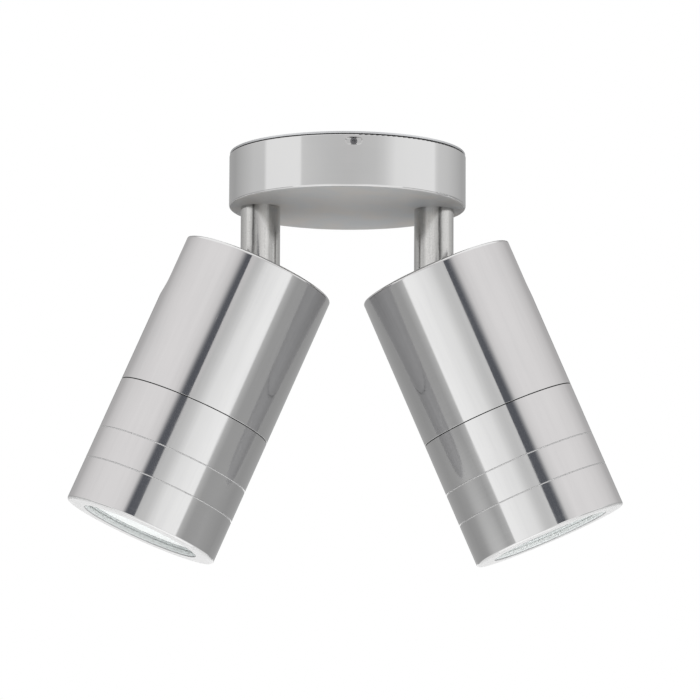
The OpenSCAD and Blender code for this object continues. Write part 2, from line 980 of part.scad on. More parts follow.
module lead_grommet() {
    color(rubber)
        at_pivot()
            translate([entry_x, 0, 0])
                rotate_extrude() {
                    band_profile(lead_r + run_gap, entry_hole_r - run_gap, bulkhead_z, seat_z);
                    band_profile(lead_r + run_gap, entry_flange_r, seat_z, seat_z + entry_flange_t);
                    band_profile(lead_r + run_gap, entry_flange_r, bulkhead_z - entry_flange_t, bulkhead_z);
                }
}

// Lead from the grommet to the back of the lampholder
module lamp_lead() {
    bend_z = bulkhead_z - entry_flange_t;
    level = bend_z - lamp_lead_bend_r;
    color(sleeve)
        at_pivot() {
            translate([entry_x, 0, bend_z])
                cylinder(r = lead_r, h = bulkhead_t + 2 * entry_flange_t + lamp_lead_tail);
            translate([entry_x + lamp_lead_bend_r, 0, bend_z])
                rotate([90, 0, 0])
                    rotate([0, 0, 180])
                        quarter_bend(lamp_lead_bend_r);
            translate([entry_x + lamp_lead_bend_r, 0, level])
                rotate([0, 90, 0])
                    cylinder(r = lead_r, h = -entry_x - 2 * lamp_lead_bend_r);
            translate([-lamp_lead_bend_r, 0, level - lamp_lead_bend_r])
                rotate([90, 0, 0])
                    quarter_bend(lamp_lead_bend_r);
        }
}

module pivot_bracket() {
    color(zinc)
        at_pivot()
            difference() {
                union() {
                    translate([-pivot_offset - bracket_w / 2, -bracket_half, seat_z])
                        cube([bracket_w, 2 * bracket_half, bracket_base_t]);
                    for (s = [-1, 1])
                        translate([0, s * (cheek_in + cheek_t / 2) - cheek_t / 2, 0]) {
                            translate([-pivot_offset - cheek_r, 0, seat_z])
                                cube([2 * cheek_r, cheek_t, -pivot_depth - seat_z]);
                            along_pivot()
                                cylinder(r = cheek_r, h = cheek_t);
                        }
                }
                translate([0, -cheek_out - overrun, 0])
                    along_pivot()
                        cylinder(r = pivot_r + thread_gap, h = 2 * (cheek_out + overrun));
                for (s = [-1, 1])
                    translate([-pivot_offset, s * bracket_screw_y, seat_z - overrun])
                        cylinder(r = small_screw_r + thread_gap, h = bracket_base_t + 2 * overrun);
            }
}

module friction_washers() {
    middle_y = flat_half + (side_gap + friction_washer_t) / 2;
    color(rubber)
        at_pivot()
            for (s = [-1, 1])
                translate([0, s * middle_y - friction_washer_t / 2, 0])
                    along_pivot()
                        rotate_extrude()
                            band_profile(
                                pivot_r + washer_hole_gap,
                                friction_washer_d / 2,
                                0,
                                friction_washer_t
                            );
}

module pivot_bolt() {
    color(dark_steel)
        at_pivot()
            translate([0, -cheek_out, 0])
                along_pivot()
                    rotate([180, 0, 0])
                        cap_screw(
                            pivot_r,
                            2 * cheek_out + pivot_nut_h + bolt_stick,
                            bolt_head_d / 2,
                            bolt_head_h,
                            bolt_socket_af,
                            bolt_socket_t
                        );
}

module pivot_nut() {
    color(zinc)
        at_pivot()
            translate([0, cheek_out, 0])
                along_pivot()
                    hex_nut(pivot_nut_af, pivot_nut_h, pivot_r + thread_gap);
}

wall_plate();
base_seal();
base_cup();
side_screws();
cable_grommet();
terminal_block();
terminal_screws();
earth_stud();
earth_nut();
base_leads();
on_left() stem();  // left_stem
on_left() stem_seal();  // left_stem_seal
on_left() swivel_washer();  // left_swivel_washer
on_left() locknut();  // left_locknut
on_left() stem_lead();  // left_stem_lead
on_right() stem();  // right_stem
on_right() stem_seal();  // right_stem_seal
on_right() swivel_washer();  // right_swivel_washer
on_right() locknut();  // right_locknut
on_right() stem_lead();  // right_stem_lead
on_left() head_body();  // left_head_body
on_left() front_cap();  // left_front_cap
on_left() cap_seal();  // left_cap_seal
on_left() glass_seal();  // left_glass_seal
on_left() glass();  // left_glass
on_left() glass_ring();  // left_glass_ring
on_left() lamp_body();  // left_lamp_body
on_left() lamp_lens();  // left_lamp_lens
on_left() lamp_pins();  // left_lamp_pins
on_left() lampholder();  // left_lampholder
on_left() holder_screws();  // left_holder_screws
on_left() bulkhead();  // left_bulkhead
on_left() bulkhead_screws();  // left_bulkhead_screws
on_left() lead_grommet();  // left_lead_grommet
on_left() lamp_lead();  // left_lamp_lead
on_left() pivot_bracket();  // left_pivot_bracket
on_left() friction_washers();  // left_friction_washers
on_left() pivot_bolt();  // left_pivot_bolt
on_left() pivot_nut();  // left_pivot_nut
on_right() head_body();  // right_head_body
on_right() front_cap();  // right_front_cap
on_right() cap_seal();  // right_cap_seal
on_right() glass_seal();  // right_glass_seal
on_right() glass();  // right_glass
on_right() glass_ring();  // right_glass_ring
on_right() lamp_body();  // right_lamp_body
on_right() lamp_lens();  // right_lamp_lens
on_right() lamp_pins();  // right_lamp_pins
on_right() lampholder();  // right_lampholder
on_right() holder_screws();  // right_holder_screws
on_right() bulkhead();  // right_bulkhead
on_right() bulkhead_screws();  // right_bulkhead_screws
on_right() lead_grommet();  // right_lead_grommet
on_right() lamp_lead();  // right_lamp_lead
on_right() pivot_bracket();  // right_pivot_bracket
on_right() friction_washers();  // right_friction_washers
on_right() pivot_bolt();  // right_pivot_bolt
on_right() pivot_nut();  // right_pivot_nut
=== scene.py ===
import json
import math

import bpy
from mathutils import Matrix, Vector


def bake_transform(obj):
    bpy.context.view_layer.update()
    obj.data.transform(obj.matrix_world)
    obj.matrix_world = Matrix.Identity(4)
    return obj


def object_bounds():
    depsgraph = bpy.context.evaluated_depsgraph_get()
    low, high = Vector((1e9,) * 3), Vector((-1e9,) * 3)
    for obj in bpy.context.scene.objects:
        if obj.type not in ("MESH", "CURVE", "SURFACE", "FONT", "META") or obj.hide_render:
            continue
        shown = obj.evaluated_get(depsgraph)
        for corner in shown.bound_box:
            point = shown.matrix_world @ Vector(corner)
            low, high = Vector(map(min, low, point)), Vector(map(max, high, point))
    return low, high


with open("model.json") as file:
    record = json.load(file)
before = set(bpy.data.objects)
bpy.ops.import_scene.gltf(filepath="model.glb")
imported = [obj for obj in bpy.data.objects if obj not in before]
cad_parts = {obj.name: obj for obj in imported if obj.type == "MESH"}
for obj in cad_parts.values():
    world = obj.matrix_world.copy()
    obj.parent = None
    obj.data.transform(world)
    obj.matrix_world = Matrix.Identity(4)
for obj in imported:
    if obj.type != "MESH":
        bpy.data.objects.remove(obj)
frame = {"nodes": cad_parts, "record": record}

# Sizes are in metres, and the wall face is z = 0. The stems point along -Z, and the heads lean out along X.
cad_box = [list(corner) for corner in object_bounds()]
JOINTS = {joint["name"]: joint for joint in frame["record"]["behaviour"]["joints"]}
SIDES = {"left": -1, "right": 1}

# A head's own frame starts in the middle of its rear face, with the axis along Z and the mouth towards -Z
HEAD_TILT = math.radians(-JOINTS["right_tilt"]["range_deg"][0])
PIVOT = Vector(JOINTS["right_tilt"]["pos_m"])
PIVOT_OFFSET = 0.0082
PIVOT_DEPTH = 0.017
HEAD_R = 0.030
HEAD_LENGTH = 0.1095


# Helpers

def rgb(red, green=None, blue=None):
    """A colour with full alpha, which is grey when only one part is given."""
    return (red, red if green is None else green, red if blue is None else blue, 1.0)


def add_object(name, data):
    thing = bpy.data.objects.new(name, data)
    bpy.context.scene.collection.objects.link(thing)
    return thing


def add_mesh(name, points, faces):
    mesh = bpy.data.meshes.new(name)
    mesh.from_pydata(points, [], faces)
    return add_object(name, mesh)


class Nodes:
    """Short calls for building a node tree."""

    def __init__(self, tree):
        self.tree = tree
        tree.nodes.clear()

    def put(self, socket, value):
        if isinstance(value, bpy.types.NodeSocket):
            self.tree.links.new(value, socket)
        elif value is not None:
            socket.default_value = value

    def add(self, kind, inputs=None, **settings):
        node = self.tree.nodes.new(kind)
        for name, value in settings.items():
            setattr(node, name, value)
        for name, value in (inputs or {}).items():
            self.put(node.inputs[name], value)
        return node

    def math(self, operation, a, b=None):
        node = self.add("ShaderNodeMath", operation=operation)
        for socket, value in zip(node.inputs, (a, b)):
            self.put(socket, value)
        return node.outputs[0]

    def plus(self, a, b):
        return self.math("ADD", a, b)

    def times(self, *factors):
        product = factors[0]
        for factor in factors[1:]:
            product = self.math("MULTIPLY", product, factor)
        return product

    def most(self, *values):
        largest = values[0]
        for value in values[1:]:
            largest = self.math("MAXIMUM", largest, value)
        return largest

    def without(self, value):
        return self.math("SUBTRACT", 1.0, value)

    def radius(self, x, y):
        return self.math("SQRT", self.plus(self.times(x, x), self.times(y, y)))

    def between(self, value, span, to=(0.0, 1.0), smooth=False):
        """Where a value stands in a span, as 0 to 1 or in another range, and held at its ends."""
        node = self.add("ShaderNodeMapRange", {
            "Value": value, "From Min": span[0], "From Max": span[1], "To Min": to[0], "To Max": to[1]
        })
        if smooth:
            node.interpolation_type = "SMOOTHSTEP"
        return node.outputs["Result"]

    def noise(self, vector, scale, detail=2.0, roughness=0.5):
        inputs = {"Vector": vector, "Scale": scale, "Detail": detail, "Roughness": roughness}
        return self.add("ShaderNodeTexNoise", inputs).outputs["Fac"]

    def drawn_noise(self, vector, scale, detail=3.0, roughness=0.6, turn=(0.0, 0.0, 0.0)):
        """Noise with a scale of its own along X, Y and Z."""
        drawn = self.add("ShaderNodeMapping", {"Vector": vector, "Rotation": turn, "Scale": scale})
        return self.noise(drawn.outputs[0], 1.0, detail, roughness)

    def ramp(self, value, stops, tint=(1.0, 1.0, 1.0)):
        """A curve through (place, level) stops, with places from 0 to 1, in shades of one tint."""
        node = self.add("ShaderNodeValToRGB", {"Fac": value})
        elements = node.color_ramp.elements
        while len(elements) < len(stops):
            elements.new(0.5)
        for element, (place, level) in zip(elements, stops):
            element.position = place
        for element, (place, level) in zip(elements, stops):
            element.color = (*(level * part for part in tint), 1.0)
        return node.outputs["Color"]

    def mix(self, factor, a, b):
        node = self.add("ShaderNodeMix", data_type="RGBA")
        for socket, value in zip((node.inputs[0], node.inputs[6], node.inputs[7]), (factor, a, b)):
            self.put(socket, value)
        return node.outputs[2]

    def split(self, vector):
        return self.add("ShaderNodeSeparateXYZ", {"Vector": vector}).outputs

    def join(self, x, y, z):
        return self.add("ShaderNodeCombineXYZ", {"X": x, "Y": y, "Z": z}).outputs[0]

    def bump(self, height, strength, distance):
        return self.add("ShaderNodeBump", {
            "Height": height, "Strength": strength, "Distance": distance
        }).outputs["Normal"]

    def object_place(self):
        return self.add("ShaderNodeTexCoord").outputs["Object"]

    def rays(self):
        return self.add("ShaderNodeLightPath").outputs

    def backfacing(self):
        return self.add("ShaderNodeNewGeometry").outputs["Backfacing"]

    def finish(self, surface):
        self.add("ShaderNodeOutputMaterial", {"Surface": surface.outputs[0]})

    def finish_pair(self, share, first, second):
        """Ends the tree with two surfaces, the second of them by its share."""
        self.finish(self.add("ShaderNodeMixShader", {0: share, 1: first.outputs[0], 2: second.outputs[0]}))


def material_of(name):
    material = bpy.data.materials.new(name)
    material.use_nodes = True
    return material, Nodes(material.node_tree)


# Camera

TARGET = Vector((0.0013, 0.0, -0.0754))
CAMERA_DISTANCE = 1.8
CAMERA_ELEVATION = math.radians(-9.0)
CAMERA_AZIMUTH = math.radians(-3.0)
CAMERA_ROLL = math.radians(0.3)
CAMERA_CLIP = (0.1, 20.0)
SENSOR_WIDTH = 36.0
LENS = 244.5


def make_camera():
    back = Vector((
        math.sin(CAMERA_AZIMUTH) * math.cos(CAMERA_ELEVATION),
        -math.cos(CAMERA_AZIMUTH) * math.cos(CAMERA_ELEVATION),
        math.sin(CAMERA_ELEVATION)
    ))
    level = Vector((math.cos(CAMERA_AZIMUTH), math.sin(CAMERA_AZIMUTH), 0.0))
    above = back.cross(level).normalized()
    right = math.cos(CAMERA_ROLL) * level + math.sin(CAMERA_ROLL) * above
    up = math.cos(CAMERA_ROLL) * above - math.sin(CAMERA_ROLL) * level
    data = bpy.data.cameras.new("camera")
    data.sensor_width = SENSOR_WIDTH
    data.lens = LENS
    data.clip_start, data.clip_end = CAMERA_CLIP
    camera = add_object("camera", data)
    turn = Matrix((right, up, back)).transposed().to_4x4()
    camera.matrix_world = Matrix.Translation(TARGET + CAMERA_DISTANCE * back) @ turn
    bpy.context.scene.camera = camera


# Studio

# Brightness of polished steel in white light, which the panels' levels are given against
STEEL_REFLECTANCE = 0.80

# Upright panels by the angle from straight in front, in degrees, with the level that steel shows there
PANELS_ABOVE = [
    (0, 0.50), (14, 0.52), (22, 0.54), (31, 0.62), (41, 0.665), (74, 0.665), (106, 0.61), (128, 0.51),
    (144, 0.39), (160, 0.36), (172, 0.22), (180, 0.22)
]
PANELS_LEVEL_LEFT = [
    (0, 0.46), (21.4, 0.49), (40.4, 0.53), (45.4, 0.55), (46.9, 0.73), (85.4, 0.72), (89.4, 0.53),
    (104.4, 0.51), (126.4, 0.40), (142.4, 0.32), (180, 0.32)
]
PANELS_LEVEL_RIGHT = [
    (0, 0.46), (26.6, 0.50), (34.6, 0.55), (40.6, 0.62), (47.6, 0.70), (62.6, 0.72), (92.6, 0.73),
    (95.6, 0.60), (99.6, 0.54), (114.6, 0.50), (131.6, 0.42), (147.6, 0.34), (180, 0.32)
]
PANELS_BELOW = [
    (0, 0.50), (6, 0.53), (12, 0.62), (18, 0.71), (32, 0.76), (41, 0.80), (54, 0.82),
    (55.2, 0.43), (61, 0.36), (67, 0.30), (74, 0.30), (95, 0.31), (128, 0.27), (150, 0.30), (180, 0.36)
]
TINT_ABOVE = (1.012, 0.992, 0.996)

# The panels stand evenly about the camera's own direction
STUDIO_TURN = math.radians(2.6)

# The middle row's height and rise, the seam between its halves, and the fades to the rows above and below
LEVEL_HEIGHT = 0.19
LEVEL_RISE_AHEAD = 0.03
LEVEL_RISE_ASIDE = 0.39
LEVEL_SEAM = (-0.02, 0.02)
FADE_ABOVE = (0.1, 0.5)
FADE_BELOW = (-0.2, -0.8)

# Spans of a direction's parts over which the rest of the studio takes over from the panels
CEILING_Z = (0.60, 0.75)
GROUND_Z = (-0.29, -0.38)
GROUND_AHEAD_SIDE = (0.60, 0.50)
GROUND_AHEAD_Y = (0.45, 0.30)
GROUND_AHEAD_Z = (-0.58, -0.80)
BACKDROP_SIDE = (0.30, 0.20)
BACKDROP_Y = (0.87, 0.93)
BACKDROP_Z = (0.0, -0.05)

CEILING_LEVEL = 1.0
GROUND_LEVEL = 1.18
GROUND_SIDE_LEVEL = 0.82
BACKDROP_LEVEL = 1.15
WORLD_LIGHT = 0.62


def make_world():
    """The studio that polished steel reflects: three rows of panels, a ceiling, a ground that is brighter
    below and ahead, and a backdrop straight behind. Other surfaces get an even light, and the camera sees
    white."""
    world = bpy.data.worlds.new("studio")
    bpy.context.scene.world = world
    world.use_nodes = True
    world.cycles.sampling_method = "NONE"
    n = Nodes(world.node_tree)
    around = n.add("ShaderNodeTexCoord").outputs["Generated"]
    turned = n.add("ShaderNodeMapping", {"Vector": around, "Rotation": (0.0, 0.0, STUDIO_TURN)})
    x, y, z = n.split(turned.outputs[0])
    side = n.math("ABSOLUTE", x)
    angle = n.math("DIVIDE", n.math("ARCTAN2", side, n.times(y, -1.0)), math.pi)
    rise = n.plus(n.times(side, LEVEL_RISE_ASIDE), LEVEL_RISE_AHEAD)
    height = n.math("DIVIDE", n.math("SUBTRACT", z, LEVEL_HEIGHT), rise)

    def panels(stops, tint=(1.0, 1.0, 1.0)):
        shades = [(degrees / 180, level / STEEL_REFLECTANCE) for degrees, level in stops]
        return n.ramp(angle, shades, tint)

    middle = n.mix(n.between(x, LEVEL_SEAM), panels(PANELS_LEVEL_LEFT), panels(PANELS_LEVEL_RIGHT))
    upper = n.mix(n.between(height, FADE_ABOVE, smooth=True), middle, panels(PANELS_ABOVE, TINT_ABOVE))
    ring = n.mix(n.between(height, FADE_BELOW, smooth=True), upper, panels(PANELS_BELOW))
    roofed = n.mix(n.between(z, CEILING_Z, smooth=True), ring, rgb(CEILING_LEVEL))
    ahead = n.times(
        n.between(side, GROUND_AHEAD_SIDE), n.between(y, GROUND_AHEAD_Y),
        n.between(z, GROUND_AHEAD_Z, smooth=True)
    )
    ground = n.mix(ahead, rgb(GROUND_SIDE_LEVEL), rgb(GROUND_LEVEL))
    room = n.mix(n.between(z, GROUND_Z, smooth=True), roofed, ground)
    behind = n.times(n.between(side, BACKDROP_SIDE), n.between(z, BACKDROP_Z), n.between(y, BACKDROP_Y))
    studio = n.mix(behind, room, rgb(BACKDROP_LEVEL))
    rays = n.rays()
    seen = n.most(rays["Is Camera Ray"], rays["Is Transmission Ray"])
    light = n.mix(rays["Is Glossy Ray"], rgb(WORLD_LIGHT), studio)
    shown = n.add("ShaderNodeBackground", {"Color": n.mix(seen, light, rgb(1.0)), "Strength": 1.0})
    n.add("ShaderNodeOutputWorld", {"Surface": shown.outputs[0]})


# Cards that only the polished steel shows

def mirror_only(card):
    for kind in ("camera", "diffuse", "transmission", "volume_scatter", "shadow"):
        setattr(card, f"visible_{kind}", False)


def card_material(name, colour, level, hidden):
    """A card that shines evenly and is clear where the value that hidden makes is 1."""
    material, n = material_of(name)
    material.cycles.emission_sampling = "NONE"
    shine = n.add("ShaderNodeEmission", {"Color": colour, "Strength": level})
    n.finish_pair(hidden(n), shine, n.add("ShaderNodeBsdfTransparent"))
    return material


# Dark flags, one in front of each head

FLAG_TURN = math.radians(38.0)
FLAG_REACH = 0.012
FLAG_SHADE = rgb(0.105, 0.110, 0.125)

# The flag's sides as shares of the head's radius, and its ends as shares of the head's length
FLAG_SIDE_SHARES = (0.14, 0.31)
FLAG_END_SHARES = (-0.04, 1.04)
FLAG_STEPS = (8, 16)

# The outer side fades over a span of the flag's width, which moves outwards from the rear to the front
FLAG_FADE_REAR_SHARES = (0.22, 0.85)
FLAG_FADE_FRONT_SHARES = (0.60, 1.0)


def traced_place(side, share, along):
    """Where a camera ray that meets a head at this share of its radius and length crosses its flag's plane.

    The plane is upright and runs outwards and forwards, so the other head and the base lie behind it."""
    axis = Vector((side * math.sin(HEAD_TILT), 0.0, -math.cos(HEAD_TILT)))
    outward = Vector((side * math.cos(HEAD_TILT), 0.0, math.sin(HEAD_TILT)))
    rear = Vector((side * PIVOT.x, 0.0, PIVOT.z)) + PIVOT_OFFSET * outward - PIVOT_DEPTH * axis
    middle = rear + axis * HEAD_LENGTH * along
    seat = bpy.context.scene.camera.matrix_world.translation
    sight = (seat - middle).normalized()
    facing = (sight - axis * sight.dot(axis)).normalized()
    outward = (outward - facing * outward.dot(facing)).normalized()
    turn = math.asin(share)
    normal = math.cos(turn) * facing + math.sin(turn) * outward
    place = middle + HEAD_R * normal
    sight = (seat - place).normalized()
    mirrored = 2.0 * normal.dot(sight) * normal - sight
    plane = Vector((-side * math.cos(FLAG_TURN), -math.sin(FLAG_TURN), 0.0))
    return place + mirrored * (FLAG_REACH - place.dot(plane)) / mirrored.dot(plane)


def flag_hidden(n, side):
    """The part of a flag that is clear: its outer side, and its face away from its head."""
    across, along = n.split(n.add("ShaderNodeUVMap", uv_map="card").outputs[0])[:2]
    fades = zip(FLAG_FADE_REAR_SHARES, FLAG_FADE_FRONT_SHARES)
    start, end = (n.between(along, (0.0, 1.0), ends) for ends in fades)
    away = n.backfacing() if side > 0 else n.without(n.backfacing())
    return n.most(n.between(across, (start, end), smooth=True), away)


def make_flags():
    """The flags give the heads their dark bands. Each has the shape that shows as a straight band at rest."""
    across, down = FLAG_STEPS
    row = across + 1
    near, far = FLAG_SIDE_SHARES
    first, last = FLAG_END_SHARES
    faces = [
        (j * row + i, j * row + i + 1, (j + 1) * row + i + 1, (j + 1) * row + i)
        for j in range(down) for i in range(across)
    ]
    for name, side in SIDES.items():
        points = [
            traced_place(side, near + (far - near) * i / across, first + (last - first) * j / down)
            for j in range(down + 1) for i in range(row)
        ]
        flag = add_mesh(f"{name}_flag", points, faces)
        layer = flag.data.uv_layers.new(name="card")
        for loop in flag.data.loops:
            j, i = divmod(loop.vertex_index, row)
            layer.data[loop.index].uv = (i / across, j / down)
        mirror_only(flag)
        flag.data.materials.append(
            card_material(f"{name}_flag_card", FLAG_SHADE, 1.0, lambda n: flag_hidden(n, side))
        )


# White card below the heads

CARD_SIZE = (0.24, 0.20)
CARD_Y = -0.10
CARD_DROP = 0.14
CARD_LEVEL = 1.16


def make_card():
    """The card shows as a bright line along the near edges of the caps."""
    half_x, half_y = (size / 2 for size in CARD_SIZE)
    height = cad_box[0][2] - CARD_DROP
    corners = ((-1, -1), (1, -1), (1, 1), (-1, 1))
    points = [(sx * half_x, CARD_Y + sy * half_y, height) for sx, sy in corners]
    card = add_mesh("white_card", points, [(0, 1, 2, 3)])
    mirror_only(card)
    card.data.materials.append(card_material("white_card_face", rgb(1.0), CARD_LEVEL, Nodes.backfacing))


# Lamps

# Name, place, diameter and power in watts
LAMPS = [
    ("key", (-1.3, -1.7, 1.3), 1.4, 42.0),
    ("fill", (1.5, -1.3, 0.4), 1.2, 16.0),
    ("rim", (0.4, 1.8, 0.9), 1.0, 14.0),
]


def make_lamps():
    for name, place, size, power in LAMPS:
        data = bpy.data.lights.new(name, "AREA")
        data.shape = "DISK"
        data.size = size
        data.energy = power
        lamp = add_object(name, data)
        lamp.location = place
        lamp.rotation_mode = "QUATERNION"
        lamp.rotation_quaternion = (Vector(place) - TARGET).to_track_quat("Z", "Y")
        lamp.visible_glossy = False
        lamp.visible_camera = False


# Floor

FLOOR_DROP = 0.45
FLOOR_RADIUS = 2.4
FLOOR_RINGS = 12
FLOOR_SIDES = 96
FLOOR_FADE_SHARES = (0.45, 0.95)
FLOOR_CLOUD_SCALE = 3.0
FLOOR_TONES = (rgb(0.93), rgb(0.96))


def make_floor():
    """A pale round floor that fades out at its rim and isn't seen from below."""
    height = cad_box[0][2] - FLOOR_DROP
    points = [(0.0, 0.0, height)]
    for ring in range(FLOOR_RINGS):
        radius = FLOOR_RADIUS * (ring + 1) / FLOOR_RINGS
        for i in range(FLOOR_SIDES):
            turn = 2 * math.pi * i / FLOOR_SIDES
            points.append((radius * math.cos(turn), radius * math.sin(turn), height))
    faces = []
    for i in range(FLOOR_SIDES):
        j = (i + 1) % FLOOR_SIDES
        faces.append((0, 1 + i, 1 + j))
        for ring in range(FLOOR_RINGS - 1):
            a = 1 + ring * FLOOR_SIDES
            b = a + FLOOR_SIDES
            faces.append((a + i, b + i, b + j, a + j))
    floor = add_mesh("floor", points, faces)
    floor.visible_glossy = False
    material, n = material_of("pale_floor")
    place = n.object_place()
    fade = [FLOOR_RADIUS * share for share in FLOOR_FADE_SHARES]
    rim = n.between(n.radius(*n.split(place)[:2]), fade, smooth=True)
    tone = n.mix(n.noise(place, FLOOR_CLOUD_SCALE), *FLOOR_TONES)
    matt = n.add("ShaderNodeBsdfDiffuse", {"Color": tone, "Roughness": 0.6})
    n.finish_pair(n.most(n.backfacing(), rim), matt, n.add("ShaderNodeBsdfTransparent"))
    floor.data.materials.append(material)


# Stainless steel

# Over this stretch one finish of the steel gives way to the next
FINISH_FADE = 0.0002

# Scales of the patterns, in 1/m
TURNING_SCALE = (6.0, 6.0, 1500.0)
CLOUD_SCALE = 45.0
SPECK_SCALE = 2600.0
SCRATCH_SCALE = (1500.0, 1500.0, 45.0)
SCRATCH_TURN = (0.35, 0.2, 0.0)
FACE_GRAIN_SCALE = 5200.0
FACE_MOTTLE_SCALE = 70.0
HEAD_STREAK_SCALE = (420.0, 420.0, 22.0)
STEM_GRAIN_SCALE = (3000.0, 3000.0, 120.0)
STEM_SPECK_SCALE = 3200.0
STEM_WAVER_SCALE = (0.0, 0.0, 60.0)

# Strength and height of the bumps
TURNED_BUMP = (0.10, 0.00002)
STEM_BUMP = (0.25, 0.00003)

# Where the base's face is blasted
BASE_FACE_Z = -0.0206

# Places in a head's own frame, where a pair is the span over which a pattern sets in
PARTING_Z = -0.0595
SLIT_REACH = (0.0007, 0.0005)
SLIT_DEPTH = (0.00008, 0.0002)
GROOVES_Z = (PARTING_Z - 0.002, PARTING_Z - 0.003)
GROOVE_DEPTH = (0.00005, 0.00028)
MOUTH_WALL_R = (0.0262, 0.0256)
MOUTH_FRONT_Z = -0.1092
MOUTH_REAR_Z = -0.0900
MOUTH_EDGE_R = (0.02304, 0.02300)
MOUTH_EDGE_Z = (MOUTH_FRONT_Z + 0.0001, MOUTH_FRONT_Z)


def head_place(n, side):
    """A point of a head in the head's own frame."""
    sign = SIDES[side]
    turn = Matrix.Rotation(sign * HEAD_TILT, 3, "Y")
    pivot = Vector((sign * PIVOT.x, 0.0, PIVOT.z))
    shift = -(turn @ pivot) - Vector((sign * PIVOT_OFFSET, 0.0, PIVOT_DEPTH))
    return n.add("ShaderNodeMapping", {
        "Vector": n.object_place(), "Location": shift, "Rotation": turn.to_euler()
    }).outputs[0]


def turned_skin(n, place):
    """Tone, roughness, height and clouds of steel with fine turning marks round Z and a few scratches."""
    marks = n.drawn_noise(place, TURNING_SCALE)
    clouds = n.noise(place, CLOUD_SCALE, 4.0, 0.55)
    specks = n.noise(place, SPECK_SCALE, 2.0, 0.6)
    scratches = n.drawn_noise(place, SCRATCH_SCALE, 1.0, 0.3, SCRATCH_TURN)
    scratched = n.times(n.between(scratches, (0.74, 0.78)), n.between(clouds, (0.48, 0.60)))
    tone = n.mix(clouds, rgb(0.765), rgb(0.815, 0.812, 0.808))
    rough = n.plus(n.between(marks, (0.3, 0.7), (0.04, 0.08)), n.between(clouds, (0.3, 0.7), (0.0, 0.03)))
    rough = n.plus(rough, n.times(scratched, 0.12))
    height = n.plus(marks, n.times(specks, 0.4))
    return tone, rough, height, clouds


def finish_turned(n, tone, rough, height, metallic, specular=0.5):
    n.finish(n.add("ShaderNodeBsdfPrincipled", {
        "Base Color": tone, "Metallic": metallic, "Roughness": rough, "Specular IOR Level": specular,
        "Normal": n.bump(height, *TURNED_BUMP)
    }))


def base_steel():
    """The base cup, with a side that is turned and a face that is blasted matt and mottled."""
    material, n = material_of("base_steel")
    place = n.object_place()
    tone, rough, height = turned_skin(n, place)[:3]
    face = n.between(n.split(place)[2], (BASE_FACE_Z, BASE_FACE_Z - FINISH_FADE))
    grain = n.noise(place, FACE_GRAIN_SCALE, 3.0, 0.7)
    mottle = n.between(n.noise(place, FACE_MOTTLE_SCALE, 3.0, 0.6), (0.35, 0.65))
    cool = n.mix(grain, rgb(0.35, 0.36, 0.37), rgb(0.45, 0.46, 0.465))
    warm = n.mix(grain, rgb(0.385, 0.37, 0.355), rgb(0.48, 0.465, 0.445))
    tone = n.mix(face, tone, n.mix(mottle, cool, warm))
    rough = n.plus(rough, n.times(face, 0.5))
    height = n.plus(height, n.times(face, grain, 2.0))
    metallic = n.between(face, (0.0, 1.0), (1.0, 0.12))
    finish_turned(n, tone, rough, height, metallic, n.between(face, (0.0, 1.0), (0.5, 0.05)))
    return material


def head_steel(side):
    """A head's body and cap: painted shade in the slit between them, matt ring grooves with a little painted
    shade, a painted dark line of shade on the inner edge of the lip, a pale wall round the lamp and long soft
    streaks.
    Seen in a reflection, all but the grooves and the wall is painted darker and rougher, which dims the head
    where other parts reflect it."""
    material, n = material_of(f"{side}_head_steel")
    place = head_place(n, side)
    x, y, z = n.split(place)
    radius = n.radius(x, y)
    tone, rough, height, clouds = turned_skin(n, place)

    def sunk(depth):
        return n.between(radius, [HEAD_R - part for part in depth])

    from_joint = n.math("ABSOLUTE", n.math("SUBTRACT", z, PARTING_Z))
    # The slit mask picks the joint between body and cap, where shade is painted in
    slit = n.times(n.between(from_joint, SLIT_REACH), sunk(SLIT_DEPTH))
    # Besides making the grooves matt, the groove mask paints a little shade into them
    groove = n.times(sunk(GROOVE_DEPTH), n.between(z, GROOVES_Z))
    edge = n.times(n.between(z, MOUTH_EDGE_Z), n.between(radius, MOUTH_EDGE_R))
    wall = n.times(
        n.between(z, (MOUTH_FRONT_Z, MOUTH_FRONT_Z + FINISH_FADE)),
        n.between(z, (MOUTH_REAR_Z + FINISH_FADE, MOUTH_REAR_Z)),
        n.between(radius, MOUTH_WALL_R)
    )
    streaks_and_painted_reflections = n.drawn_noise(place, HEAD_STREAK_SCALE)
    # Glossy rays see the head painted darker and rougher, which dims its reflections in other parts, except
    # on the grooves and the wall
    mirrored = n.times(n.rays()["Is Glossy Ray"], n.without(n.most(groove, wall)))
    # Painted shade: the slit goes near black, and the grooves a little darker
    tone = n.mix(n.most(slit, n.times(groove, 0.06)), tone, rgb(0.03))
    # Painted shade: a dark line along the lip's inner edge, half darkened
    tone = n.mix(n.times(edge, 0.5), tone, rgb(0.06, 0.065, 0.075))
    tone = n.mix(wall, tone, n.mix(clouds, rgb(0.92, 0.925, 0.93), rgb(0.95, 0.955, 0.96)))
    tone = n.mix(n.between(streaks_and_painted_reflections, (0.45, 0.70), (0.0, 0.09)), tone, rgb(0.55, 0.55, 0.56))
    # Painted reflection: the head is shown darker to glossy rays
    tone = n.mix(n.times(mirrored, 0.7), tone, rgb(0.24, 0.24, 0.25))
    rough = n.plus(rough, n.times(wall, 0.4))
    rough = n.plus(rough, n.between(streaks_and_painted_reflections, (0.45, 0.70), (0.0, 0.05)))
    rough = n.plus(rough, n.most(n.times(mirrored, 0.55), n.times(slit, 0.6), n.times(groove, 0.30)))
    metallic = n.between(n.most(wall, n.times(groove, 0.55)), (0.0, 1.0), (1.0, 0.1))
    finish_turned(n, tone, rough, height, metallic)
    return material
